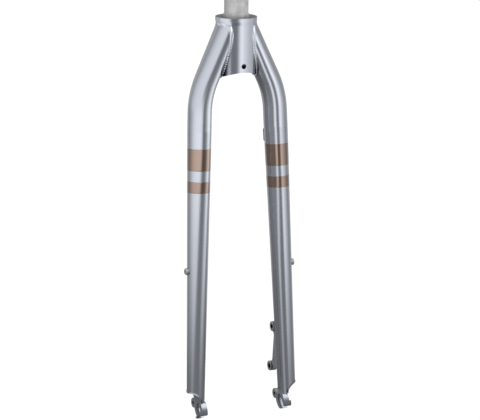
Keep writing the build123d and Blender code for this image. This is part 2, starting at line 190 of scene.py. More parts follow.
def colourMix(nodes, links, first, second, factor=None, blend="MIX"):
    # first and second are node outputs or plain colours, and the factor is a node output or, left out, one
    mix = nodes.new("ShaderNodeMix")
    mix.data_type = "RGBA"
    mix.blend_type = blend
    for socket, colour in ((mix.inputs["A"], first), (mix.inputs["B"], second)):
        if isinstance(colour, tuple):
            socket.default_value = (*colour, 1)
        else:
            links.new(colour, socket)
    if factor is None:
        mix.inputs["Factor"].default_value = 1.0
    else:
        links.new(factor, mix.inputs["Factor"])
    return mix.outputs["Result"]


def bump(nodes, links, height, strength, depth, under=None):
    # tilts the surface by the slope of a height, a share of the depth, on top of the bump under it
    ridge = nodes.new("ShaderNodeBump")
    ridge.inputs["Strength"].default_value = strength
    ridge.inputs["Distance"].default_value = depth
    links.new(height, ridge.inputs["Height"])
    if under is not None:
        links.new(under, ridge.inputs["Normal"])
    return ridge.outputs["Normal"]


def calc(nodes, links, operation, first, second=0.0):
    # one step of arithmetic whose two inputs are numbers or other nodes' outputs
    result = nodes.new("ShaderNodeMath")
    result.operation = operation
    for socket, value in zip(result.inputs, (first, second)):
        if isinstance(value, (int, float)):
            socket.default_value = value
        else:
            links.new(value, socket)
    return result.outputs["Value"]


# the paints: scales are in noise cells a metre, reaches and depths in metres; the colour is multiplied by a
# painted shade, the darkest share given, where less of the surroundings is open than the first of its stops,
# and by one past the second
paintLook = {"base": (0.395, 0.415, 0.46), "dark": (0.375, 0.395, 0.44), "metallic": 0.92,
             "roughness": 0.19, "roughnessSpread": 0.02, "coat": 0.35, "coatRoughness": 0.08, "coatIor": 1.5,
             "flake": 9000, "flakeDetail": 1.0, "cloud": 40, "cloudDetail": 3.0,
             "orangePeel": 260, "peelDetail": 2.0, "peelStrength": 0.004, "peelDepth": 0.0003,
             "paintedShade": 0.1, "paintedShadeReach": 0.008, "paintedShadeStops": (0.2, 0.85), "paintedShadeSamples": 16}
# the crown's and the welds' copies of the paint carry deeper, wider painted shade for the corners under the
# blades
crownShadedLook = {**paintLook, "paintedShade": 0.04, "paintedShadeReach": 0.03, "paintedShadeStops": (0.65, 0.92)}
weldLook = {**paintLook, "metallic": 0.9, "roughness": 0.2, "paintedShade": 0.05, "paintedShadeReach": 0.03,
            "paintedShadeStops": (0.42, 0.74)}
machinedLook = {**paintLook, "metallic": 0.9, "roughness": 0.24}
seamLook = {**machinedLook, "paintedShade": 0.8}
bronzeLook = {**paintLook, "base": (0.20, 0.118, 0.08), "dark": (0.165, 0.094, 0.062), "metallic": 1.0,
              "roughness": 0.12, "coat": 1.0, "coatRoughness": 0.06, "coatIor": 1.92, "paintedShade": 0.6,
              "paintedShadeReach": 0.02}


def metallicPaint(name, look):
    # metal flake under clear lacquer: fine flakes blend the dark colour into the base one, painted shade in
    # crevices multiplies it, clouds vary the roughness by its spread up and down, and orange peel ripples the
    # surface
    material, nodes, links, shader = newMaterial(name)
    space = objectSpace(nodes, links)
    flakes = noise(nodes, links, space, look["flake"], look["flakeDetail"])
    cloud = noise(nodes, links, space, look["cloud"], look["cloudDetail"])
    speckled = colourMix(nodes, links, look["dark"], look["base"], flakes)
    # painted shade: the colour darkens where little of the surroundings is open, as shade falls in corners
    openness = nodes.new("ShaderNodeAmbientOcclusion")
    openness.samples = look["paintedShadeSamples"]
    openness.inputs["Distance"].default_value = look["paintedShadeReach"]
    closed, clear = look["paintedShadeStops"]
    shade = greyRamp(nodes, links, openness.outputs["AO"], [(closed, look["paintedShade"]), (clear, 1)])
    links.new(colourMix(nodes, links, speckled, shade, blend="MULTIPLY"), shader.inputs["Base Color"])
    low, high = look["roughness"] - look["roughnessSpread"], look["roughness"] + look["roughnessSpread"]
    links.new(ranged(nodes, links, cloud, low, high), shader.inputs["Roughness"])
    shader.inputs["Metallic"].default_value = look["metallic"]
    shader.inputs["Coat Weight"].default_value = look["coat"]
    shader.inputs["Coat Roughness"].default_value = look["coatRoughness"]
    shader.inputs["Coat IOR"].default_value = look["coatIor"]
    peel = noise(nodes, links, space, look["orangePeel"], look["peelDetail"])
    ripple = bump(nodes, links, peel, look["peelStrength"], look["peelDepth"])
    links.new(ripple, shader.inputs["Normal"])
    return material


alloyLook = {"light": 0.56, "dark": 0.38, "toneStops": (0.2, 0.75), "streakTone": (-0.15, 0.35),
             "cloudTone": (-0.2, 0.95), "roughness": 0.58, "roughnessSpread": 0.08, "metallic": 0.9,
             "anisotropic": 0.4, "streakBump": 0.12, "scratchBump": 0.10, "bumpDepth": 0.0002,
             "streaks": {"stretch": (1, 1, 0.02), "scale": 900, "detail": 4.0, "rough": 0.6},
             "clouds": {"stretch": (1, 1, 0.8), "scale": 130, "detail": 5.0, "rough": 0.65},
             "scratches": {"stretch": (0.12, 0.12, 1.6), "scale": 700, "detail": 3.0, "rough": 0.6}}


def rawAlloy(name, look):
    # drawn tube: the grey is the sum of long streaks up the tube and cloudy oxide, which is smoother where it
    # is light; the streaks and a few fine scratches across them are bumps
    material, nodes, links, shader = newMaterial(name)
    streaks = stretchedNoise(nodes, links, look["streaks"])
    clouds = stretchedNoise(nodes, links, look["clouds"])
    scratches = stretchedNoise(nodes, links, look["scratches"])
    tone = calc(nodes, links, "ADD", ranged(nodes, links, streaks, *look["streakTone"]),
                ranged(nodes, links, clouds, *look["cloudTone"]))
    darkStop, lightStop = look["toneStops"]
    grey = greyRamp(nodes, links, tone, [(darkStop, look["dark"]), (lightStop, look["light"])])
    links.new(grey, shader.inputs["Base Color"])
    rough, smoother = look["roughness"] + look["roughnessSpread"], look["roughness"] - look["roughnessSpread"]
    links.new(ranged(nodes, links, clouds, rough, smoother), shader.inputs["Roughness"])
    shader.inputs["Metallic"].default_value = look["metallic"]
    shader.inputs["Anisotropic"].default_value = look["anisotropic"]
    lines = bump(nodes, links, streaks, look["streakBump"], look["bumpDepth"])
    marks = bump(nodes, links, scratches, look["scratchBump"], look["bumpDepth"], lines)
    links.new(marks, shader.inputs["Normal"])
    return material


silverPaint = metallicPaint("silverPaint", paintLook)
crownShadedPaint = metallicPaint("crownShadedPaint", crownShadedLook)
weldPaint = metallicPaint("weldPaint", weldLook)
machinedPaint = metallicPaint("machinedPaint", machinedLook)
seamPaint = metallicPaint("seamPaint", seamLook)
bronzePaint = metallicPaint("bronzePaint", bronzeLook)
bareAlloy = rawAlloy("bareAlloy", alloyLook)
print("materials made")

# the blades: sizes in millimetres and degrees, the same as the solids'; a drop is a depth below the crown
# race, a span half the distance between the blades' centre lines, and the rows and columns are how fine the
# grid is
blade = {"lean": 3.53, "shoulderSpan": 47.8, "shoulderDrop": 91.0, "shoulderSlope": 24.9, "bend": 100.0,
         "tipSpan": 60.0, "axleDrop": 462.0, "rootWidth": 26.6, "rootDepth": 36.0, "neckDrop": 10.0,
         "round": 28.4, "tip": 21.0, "taperDrop": 132.0, "wall": 2.2, "wallRise": 12.0, "intoCrown": 3.0,
         "columns": 240, "shoulderRows": 120, "bladeRows": 110}


def bladeAxis(drop):
    # centre line: two straight runs joined by an arc tangent to both, in a plane leaned forward;
    # the in-plane height is the drop over the cosine of the lean, and x follows run, arc or run
    lean = math.radians(blade["lean"])
    down = drop / math.cos(lean)
    slopeTop = math.tan(math.radians(blade["shoulderSlope"]))
    slopeLow = (blade["tipSpan"] - blade["shoulderSpan"]) / (blade["axleDrop"] - blade["shoulderDrop"])
    slopeLow *= math.cos(lean)
    corner = blade["shoulderDrop"] / math.cos(lean)
    turn = math.atan(slopeTop) - math.atan(slopeLow)
    reach = blade["bend"] * math.tan(turn / 2)
    upperEnd = corner - reach * math.cos(math.atan(slopeTop))
    lowerEnd = corner + reach * math.cos(math.atan(slopeLow))
    upper = blade["shoulderSpan"] - (corner - down) * slopeTop
    lower = blade["shoulderSpan"] + (down - corner) * slopeLow
    # the arc's centre lies inboard of the lower tangent point, square to the lower run
    lowX = blade["shoulderSpan"] + (lowerEnd - corner) * slopeLow
    slant = math.hypot(1, slopeLow)
    centreX = lowX - blade["bend"] / slant
    centreDown = lowerEnd + blade["bend"] * slopeLow / slant
    arc = centreX + np.sqrt(np.clip(blade["bend"] ** 2 - (down - centreDown) ** 2, 0, None))
    x = np.where(down < upperEnd, upper, np.where(down > lowerEnd, lower, arc))
    return np.stack([x, -down * math.sin(lean), -down * math.cos(lean)], -1)


def bladeHalf(drop):
    # half width and half depth: an ellipse at the crown eases into a circle, which then tapers straight
    share = np.clip((drop - blade["neckDrop"]) / (blade["taperDrop"] - blade["neckDrop"]), 0, 1)
    ease = share * share * (3 - 2 * share)
    width = blade["rootWidth"] + (blade["round"] - blade["rootWidth"]) * ease
    depth = blade["rootDepth"] + (blade["round"] - blade["rootDepth"]) * ease
    narrowing = (blade["tip"] - blade["round"]) * (drop - blade["taperDrop"])
    low = blade["round"] + narrowing / (blade["axleDrop"] - blade["taperDrop"])
    straight = drop > blade["taperDrop"]
    return np.where(straight, low, width) / 2, np.where(straight, low, depth) / 2


def bladePoint(drop, angle, grow=0.0):
    # centre line plus half width times cosine across it and half depth times sine square to its plane
    nearby = 0.01  # mm up and down the centre line, for its direction
    centre = bladeAxis(drop)
    along = unit(bladeAxis(drop + nearby) - bladeAxis(drop - nearby))
    lean = math.radians(blade["lean"])
    normal = np.array([0, -math.cos(lean), math.sin(lean)])
    across = np.cross(normal, along)
    width, depth = bladeHalf(drop)
    return (centre + across * ((width + grow) * np.cos(angle))[..., None]
            + normal * ((depth + grow) * np.sin(angle))[..., None])


def firstInside(test, drops, angle):
    # walks every column down the blade in steps, takes the first step where the test holds, and halves it
    # again and again to find the drop where it starts to hold
    steps, halvings = 400, 30
    ladder = np.linspace(*drops, steps)
    hit = test(bladePoint(*np.meshgrid(ladder, angle, indexing="ij")))
    first = np.argmax(hit, 0)
    low, high = ladder[np.maximum(first - 1, 0)], ladder[first]
    for _ in range(halvings):
        middle = (low + high) / 2
        inside = test(bladePoint(middle, angle))
        low, high = np.where(inside, low, middle), np.where(inside, middle, high)
    return (low + high) / 2


# the crown: radii and drops of the barrel, its lip, the tyre arch, the bore and the mudguard bolt's hole;
# edges are steps in from a corner, and the blade's seam lies somewhere between the two seam drops
crown = {"radius": 23.7, "lip": 24.59, "lipDrop": 2.4, "neckDrop": 10.0, "archTop": 63.6, "arch": 45.0,
         "bore": 15.5, "holeDrop": 56.2, "hole": 3.0, "flareSteps": 12, "boreEdge": 0.35,
         "archEdges": (0.9, 0.25, 0.0), "wallDrops": (62, 58, 54, 48, 40, 30, 20, 12),
         "lipEdges": ((0.0, -0.5), (0.15, -0.15), (0.5, 0.0)), "seamDrops": (2.0, 90.0)}


def outsideCrown(p):
    # further from the steerer's centre line than the crown's radius
    return np.hypot(p[..., 0], p[..., 1]) > crown["radius"]


# the blades' lower ends: the hub's face, the dropout's plate, the scoop and its hood, and the hub recess
tip = {"hub": 50.0, "plate": 7.0, "scoop": 13.3, "rise": 7.6, "hood": 1.8, "step": 0.3, "endRise": 2.0,
       "recess": 10.0, "swellDrop": 440.0, "swellRun": 10.0, "swell": 0.05, "flatStep": 0.02,
       "cutDrops": (380.0, 468.0)}


def insideTipCut(p):
    # the blade stops at the scoop outside the dropout, at the round hub recess inside it, or at its end cut
    axleY = -blade["axleDrop"] * math.tan(math.radians(blade["lean"]))
    x, back, rise = p[..., 0], p[..., 1] - axleY, p[..., 2] + blade["axleDrop"]
    outer = tip["hub"] + tip["plate"]
    scoopX = outer + tip["step"] + tip["scoop"] - tip["hood"]
    scoop = np.hypot(x - scoopX, rise - tip["rise"]) < tip["scoop"]
    below = (x > outer) & (rise < tip["rise"])
    recess = (x < outer) & ((np.hypot(back, rise) < tip["recess"]) | (rise < tip["endRise"]))
    return scoop | below | recess


aroundTube = np.linspace(0, 2 * np.pi, blade["columns"], endpoint=False)
seamDrop = firstInside(outsideCrown, crown["seamDrops"], aroundTube)
tipDrop = firstInside(insideTipCut, tip["cutDrops"], aroundTube)


def tubePoints(drops):
    # the blade's outer surface at rows of drops, one for each point round, swollen by a hair near the tip
    angle = np.broadcast_to(aroundTube, drops.shape)
    near = np.clip((drops - tip["swellDrop"]) / tip["swellRun"], 0, 1)
    points = bladePoint(drops, angle, tip["swell"] * near)
    # near the tip the inboard side is flat, in line with the face that meets the hub: x is never less than
    # that face's, and further up the limit lies far on the other side of the fork
    noLimit = 100
    points[..., 0] = np.maximum(points[..., 0], (tip["hub"] + tip["flatStep"]) * near - noLimit * (1 - near))
    return points


def buildShoulder(name, side):
    # from just inside the crown to where the taper starts, in even steps
    share = np.linspace(0, 1, blade["shoulderRows"])[:, None]
    start = seamDrop - blade["intoCrown"]
    drops = start + (blade["taperDrop"] - start) * share
    return addTube(name, side, tubePoints(drops), sharpEdge["tube"])


def buildBlade(name, side):
    # from the taper's start to the cut end, then in by the wall and up inside, so that the end has thickness
    share = np.linspace(0, 1, blade["bladeRows"])[:, None]
    drops = blade["taperDrop"] + (tipDrop - blade["taperDrop"]) * share
    outer = tubePoints(drops)
    inner = [bladePoint(drops[-1:] - up, aroundTube[None], -blade["wall"]) for up in (0, blade["wallRise"])]
    return addTube(name, side, np.concatenate([outer, *inner]), sharpEdge["tube"])


for sideName, side in sides.items():
    dress(buildShoulder("shoulder_" + sideName + "_tube", side), silverPaint,
          "shoulder_" + sideName)
    dress(buildBlade("blade_" + sideName + "_tube", side), silverPaint, "blade_" + sideName)
print("blades made")

# the bands: "edge" is how far in from an edge, and how far off the tube the film is there
bands = {"top": 152.1, "wide": 26.0, "gap": 12.6, "narrow": 13.4, "film": 0.14,
         "edge": ((0, -0.05), (0.12, 0.07), (0.3, 0.12), (0.6, 0.14), (1.2, 0.14))}


def buildBand(name, side, top, height):
    # the blade's own surface, grown by a film that falls to nothing over the last half millimetre each end
    inward, lift = np.array(bands["edge"]).T
    rows = np.concatenate([inward, [0.5 * height], height - inward[::-1]])
    grow = np.concatenate([lift, [bands["film"]], lift[::-1]])
    drops, angle = np.meshgrid(top + rows, aroundTube, indexing="ij")
    points = bladePoint(drops, angle, np.broadcast_to(grow[:, None], drops.shape))
    return addTube(name, side, points, sharpEdge["band"])


lowerTop = bands["top"] + bands["wide"] + bands["gap"]
for sideName, side in sides.items():
    for width, top in (("wide", bands["top"]), ("narrow", lowerTop)):
        node = "band_" + width + "_" + sideName
        dress(buildBand(node + "_film", side, top, bands[width]), bronzePaint, node)
print("bands made")

# the steerer's radii, and its heights above the crown race; the lathe is how finely pieces are turned, and the
# bolt hole's drill
steerer = {"radius": 14.3, "seat": 15.0, "press": 15.48, "seatTop": 4.2, "top": 220.0, "bore": 11.8,
           "butt": 11.1, "buttTop": 70.0, "buttRun": 5.0, "chamfer": 0.8, "mouth": 0.3, "rows": (30, 90, 150),
           "holeStep": 0.02}
lathe = {"columns": 192, "holeSides": 48, "holeLength": 80.0}


def archHeight(x):
    # underside of the crown: a cylinder laid fore and aft
    return -crown["archTop"] - crown["arch"] + np.sqrt(crown["arch"] ** 2 - x ** 2)


def turned(name, profile):
    # a closed profile of (radius, height) carried round Z; a height of None follows the tyre arch
    angle = np.linspace(0, 2 * np.pi, lathe["columns"], endpoint=False)
    rows = []
    for radius, height in profile:
        x, y = radius * np.cos(angle), radius * np.sin(angle)
        z = archHeight(x) if height is None else np.full(len(angle), float(height))
        rows.append(np.stack([x, y, z], -1))
    return addGrid(name, np.stack(rows)[:, ::-1], closeU=True, closeV=True)


def drill(thing, radius):
    # takes the mudguard bolt's hole, which runs fore and aft, out of a turned piece
    bpy.ops.mesh.primitive_cylinder_add(vertices=lathe["holeSides"], radius=radius * mm,
                                        depth=lathe["holeLength"] * mm,
                                        location=(0, 0, -crown["holeDrop"] * mm),
                                        rotation=(math.pi / 2, 0, 0))
    cutter = bpy.context.object
    cut = thing.modifiers.new("drill", "BOOLEAN")
    cut.operation = "DIFFERENCE"
    cut.solver = "EXACT"
    cut.object = cutter
    bpy.context.view_layer.update()
    applyModifiers(thing)
    bpy.data.objects.remove(cutter)


def crownProfile():
    # up the bore's wall, out along the arch, up the barrel and over the lip, which it flares into in half a
    # cosine wave
    radius, lip, bore = crown["radius"], crown["lip"], crown["bore"]
    rise = crown["neckDrop"] - crown["lipDrop"]
    share = [step / crown["flareSteps"] for step in range(crown["flareSteps"] + 1)]
    arch = [(bore, None), (bore + crown["boreEdge"], None)]
    arch += [(radius - inward, None) for inward in crown["archEdges"]]
    barrel = [(radius, -drop) for drop in crown["wallDrops"]]
    flare = [(radius + (lip - radius) * (1 - math.cos(math.pi * s)) / 2, -crown["neckDrop"] + rise * s)
             for s in share]
    rim = [(lip - inward, height) for inward, height in crown["lipEdges"]]
    return [(bore, 0)] + arch + barrel + flare + rim


def steererProfile():
    # down the butted bore, out along the arch to the pressed foot, up over the race seat and the tube, in
    # over the top and down the bore to the butt
    tube, seat, press, bore, butt, top, chamfer, mouth = (
        steerer[k] for k in ("radius", "seat", "press", "bore", "butt", "top", "chamfer", "mouth"))
    foot = [(butt, steerer["buttTop"]), (butt, None), (press, None), (press, 0.0)]
    race = [(seat, 0.0), (seat, steerer["seatTop"] - chamfer), (tube, steerer["seatTop"])]
    wall = [(tube, height) for height in steerer["rows"]] + [(tube, top - chamfer), (tube - chamfer, top)]
    inside = [(bore + mouth, top), (bore, top - mouth), (bore, steerer["buttTop"] + steerer["buttRun"])]
    return foot + race + wall + inside


crownPiece = turned("crown_barrel", crownProfile())
drill(crownPiece, crown["hole"])
smooth(crownPiece, sharpEdge["crown"])
dress(crownPiece, crownShadedPaint, "crown")
steererPiece = turned("steerer_drawn", steererProfile())
drill(steererPiece, crown["hole"] - steerer["holeStep"])
smooth(steererPiece, sharpEdge["steerer"])
dress(steererPiece, bareAlloy, "steerer_tube")
print("crown and steerer made")

# the weld beads, in millimetres; between two puddles a bead is lower by "ripple" and as wide as "waist", both
# shares of a puddle's own; "curl" is how far the middle of a ripple lags, in puddles, and "perPuddle" how
# many points along the seam each puddle has
bead = {"reach": 2.5, "waist": 0.86, "fill": 0.85, "pitch": 2.8, "ripple": 0.75, "roundness": 0.6,
        "curl": 0.35, "perPuddle": 12, "across": 15, "seamPoints": 720, "sink": 0.12, "root": 0.4,
        "archSide": 23.8, "belowArch": 1.0}


def facing(direction, towards):
    # each direction turned round where it points away from the other one
    return direction * np.sign(np.sum(direction * towards, -1, keepdims=True))


def buildCrownWeld(name, side):
    # overlapping puddles along the seam: a Bezier arch from the crown to the blade, swollen once every pitch
    # by a power of a sine, with the ripples bent back in the middle
    fine = np.linspace(0, 2 * np.pi, bead["seamPoints"], endpoint=False)
    drops = firstInside(outsideCrown, crown["seamDrops"], fine)
    seam = bladePoint(drops, fine)
    closed = np.vstack([seam, seam[:1]])
    length = np.concatenate([[0], np.cumsum(np.linalg.norm(np.diff(closed, axis=0), axis=1))])
    count = int(round(length[-1] / bead["pitch"])) * bead["perPuddle"]
    at = np.linspace(0, length[-1], count, endpoint=False)
    angle = np.interp(at, length, np.append(fine, 2 * np.pi))
    drop = np.interp(at, length, np.append(drops, drops[:1]))
    path = bladePoint(drop, angle)
    along = unit(np.roll(path, -1, 0) - np.roll(path, 1, 0))
    # normals of the crown's barrel and of the blade, and from them the way over each surface, off the other
    barrel = unit(path * np.array([1, 1, 0]))
    smallTurn, smallDrop = 0.01, 0.1
    onBlade = unit(np.cross(bladePoint(drop, angle + smallTurn) - bladePoint(drop, angle - smallTurn),
                            bladePoint(drop + smallDrop, angle) - bladePoint(drop - smallDrop, angle)))
    onBlade = facing(onBlade, path - bladeAxis(drop))
    overCrown = facing(unit(np.cross(along, barrel)), onBlade)
    overBlade = facing(unit(np.cross(along, onBlade)), barrel)
    q = np.linspace(0, 1, bead["across"])[:, None]
    phase = np.arange(count)[None, :] / bead["perPuddle"] + bead["curl"] * (1 - (2 * q - 1) ** 2)
    puddle = np.abs(np.sin(np.pi * phase)) ** bead["roundness"]
    reach = bead["reach"] * (bead["waist"] + (1 - bead["waist"]) * puddle)
    fill = bead["fill"] * (1 - bead["ripple"] * (1 - puddle))
    start = path[None] + overCrown[None] * reach[..., None] - barrel[None] * bead["sink"]
    end = path[None] + overBlade[None] * reach[..., None] - onBlade[None] * bead["sink"]
    middle = path[None] + (overCrown + overBlade)[None] * (reach * fill)[..., None]
    arch = (1 - q)[..., None] ** 2 * start + (2 * q * (1 - q))[..., None] * middle + (q ** 2)[..., None] * end
    # the bead hangs no lower than this under the tyre arch, and closes through a root inside the joint
    low = archHeight(np.clip(arch[..., 0], -bead["archSide"], bead["archSide"])) - bead["belowArch"]
    arch[..., 2] = np.maximum(arch[..., 2], low)
    root = (path - barrel * bead["root"] - onBlade * bead["root"])[None]
    points = np.concatenate([arch, root])
    if side > 0:
        points = points[:, ::-1]
    thing = addGrid(name, points * np.array([side, 1, 1]), closeU=True, closeV=True)
    smooth(thing, sharpEdge["bead"])
    return thing


for sideName, side in sides.items():
    beads = buildCrownWeld("weld_" + sideName + "_beads", side)
    dress(beads, weldPaint, "crown_weld_" + sideName)
print("crown welds made")

# pieces kept from the solids: the width of the small bevel on their sharp edges, the paint and the slot
smallPieces = {
    "disc_bracket": (0.35, weldPaint, "silver_paint"),
    "hose_guide": (0.3, weldPaint, "silver_paint"),
    "tip_weld_left": (0, seamPaint, "silver_paint"),
    "tip_weld_right": (0, seamPaint, "silver_paint"),
    "bracket_weld": (0, seamPaint, "silver_paint"),
    "guide_weld": (0, seamPaint, "silver_paint"),
    "dropout_left": (0.3, machinedPaint, "machined_alloy"),
    "dropout_right": (0.3, machinedPaint, "machined_alloy"),
    "rack_boss_left": (0.2, bareAlloy, "bare_alloy"),
    "rack_boss_right": (0.2, bareAlloy, "bare_alloy"),
}
soften = {"merge": 0.01, "segments": 2, "bevelAngle": 40}


def cadCopy(node, bevel):
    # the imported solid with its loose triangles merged, shaded smooth, with a small bevel on its sharp edges
    thing = addObject(node + "_soft", frame["nodes"][node].data.copy())
    merge = thing.modifiers.new("merge", "WELD")
    merge.merge_threshold = soften["merge"] * mm
    applyModifiers(thing)
    smooth(thing, sharpEdge["solid"])
    if bevel:
        edge = thing.modifiers.new("soften", "BEVEL")
        edge.width = bevel * mm
        edge.segments = soften["segments"]
        edge.limit_method = "ANGLE"
        edge.angle_limit = math.radians(soften["bevelAngle"])
        edge.harden_normals = True
        edge.use_clamp_overlap = True
    return thing


for node, (bevel, paint, slotName) in smallPieces.items():
    dress(cadCopy(node, bevel), paint, node)
print("small pieces made")

# the camera, in degrees, millimetres and pixels; only the clip distances are in metres
view = {"azimuth": -24.333, "elevation": 12.474, "roll": 0.685, "distance": 3036.0, "focal": 2562.3,
        "aimRight": 7.171, "aimUp": -38.907, "aimHeight": -192.28, "frameWidth": 480, "sensor": 36.0,
        "clip": (0.1, 60)}


def addCamera():
    # the photograph's station: back along azimuth and elevation from the aim, turned by a small roll
    azimuth, elevation, roll = (math.radians(view[k]) for k in ("azimuth", "elevation", "roll"))
    level = math.cos(elevation)
    back = np.array([math.sin(azimuth) * level, -math.cos(azimuth) * level, math.sin(elevation)])
    right = unit(np.cross(-back, [0, 0, 1]))
    up = np.cross(right, -back)
    aim = np.array([0, 0, view["aimHeight"]]) + view["aimRight"] * right + view["aimUp"] * up
    place = np.eye(4)
    place[:3, 0] = math.cos(roll) * right + math.sin(roll) * up
    place[:3, 1] = -math.sin(roll) * right + math.cos(roll) * up
    place[:3, 2] = back
    place[:3, 3] = (aim + back * view["distance"]) * mm
    data = bpy.data.cameras.new("camera")
    data.sensor_width = view["sensor"]
    data.lens = view["focal"] * data.sensor_width / view["frameWidth"]
    data.clip_start, data.clip_end = view["clip"]
    camera = addObject("camera", data)
    camera.matrix_world = Matrix(place.tolist())
    bpy.context.scene.camera = camera


# the room, in metres: white is what the camera sees of page and floor, the other levels what the paint sees
studio = {"floor": -1.05, "floorSize": 40.0, "floorColour": (0.05, 0.05, 0.05), "white": 1.0, "room": 0.28,
          "roomColour": (0.96, 0.98, 1), "paintedFloorShade": 0.12, "shadeRadius": (0.6, 3.2), "ceiling": 0.9,
          "ceilingEdge": (0.6, 0.95)}


def cameraRaySplit(nodes, links, seen, lit):
    # one brightness for the camera's white page and another for what the paint reflects
    path = nodes.new("ShaderNodeLightPath")
    return ranged(nodes, links, path.outputs["Is Camera Ray"], lit, seen)


def fromPoint(nodes, links, point):
    # world position measured from a point, split into x, y and z, and its distance on the level
    place = nodes.new("ShaderNodeNewGeometry")
    split = nodes.new("ShaderNodeSeparateXYZ")
    links.new(place.outputs["Position"], split.inputs["Vector"])
    x, y, z = (calc(nodes, links, "SUBTRACT", split.outputs[axis], at) for axis, at in zip("XYZ", point))
    squareX, squareY = (calc(nodes, links, "MULTIPLY", part, part) for part in (x, y))
    return x, y, z, calc(nodes, links, "SQRT", calc(nodes, links, "ADD", squareX, squareY))


def addFloor():
    # a plain pale sheet well below the fork, which is held up by its steerer; the paint sees its glow dimmed
    # near the fork, a painted shade
    half = studio["floorSize"] / 2
    corners = np.array([[[-half, -half, 0], [half, -half, 0]], [[-half, half, 0], [half, half, 0]]]) / mm
    floor = addGrid("floor", corners + np.array([0, 0, studio["floor"] / mm]))
    material, nodes, links, shader = newMaterial("paleFloor")
    radius = fromPoint(nodes, links, (0, 0, 0))[3]
    # painted shade: the glow that the paint sees falls from the room level to a dimmer one near the fork
    dim = ranged(nodes, links, radius, studio["paintedFloorShade"], studio["room"], *studio["shadeRadius"])
    shader.inputs["Base Color"].default_value = (*studio["floorColour"], 1)
    shader.inputs["Roughness"].default_value = 1.0
    shader.inputs["Emission Color"].default_value = (1, 1, 1, 1)
    links.new(cameraRaySplit(nodes, links, studio["white"], dim), shader.inputs["Emission Strength"])
    floor.data.materials.append(material)


def addWorld():
    # an even grey room with a bright ceiling for the reflections, and a white page behind the fork
    world = bpy.data.worlds.new("studio")
    bpy.context.scene.world = world
    world.use_nodes = True
    nodes, links = world.node_tree.nodes, world.node_tree.links
    background = nodes["Background"]
    background.inputs["Color"].default_value = (*studio["roomColour"], 1)
    place = nodes.new("ShaderNodeTexCoord")
    split = nodes.new("ShaderNodeSeparateXYZ")
    links.new(place.outputs["Generated"], split.inputs["Vector"])
    glow = ranged(nodes, links, split.outputs["Z"], studio["room"], studio["ceiling"], *studio["ceilingEdge"])
    links.new(cameraRaySplit(nodes, links, studio["white"], glow), background.inputs["Strength"])


# the softboxes, in metres and degrees: the point that a group's boxes stand round, and the group that a piece
# is in by the first word of its name; "lookDown" is how much higher on the fork than on a box its pattern
# shows, for each metre between them, and "lowest" is a depth below all of the fork
boxes = {"distance": 0.5, "lift": 0.3, "height": 1.6, "lookDown": 0.10, "lowest": 0.7}
targets = {"right": (-0.055, -0.015, -0.25), "left": (0.055, -0.015, -0.25), "crown": (0, 0, -0.04),
           "rightShoulder": (-0.04, -0.005, -0.25), "leftShoulder": (0.04, -0.005, -0.25),
           "steerer": (0, 0, 0.02), "weld": (0, 0, -0.04), "foot": (0, -0.03, -0.46),
           "seam": (0, -0.03, -0.46)}
ownTarget = {"steerer": "steerer", "crown": "crown", "weld": "weld", "dropout": "foot", "tip": "seam",
             "bracket": "seam"}

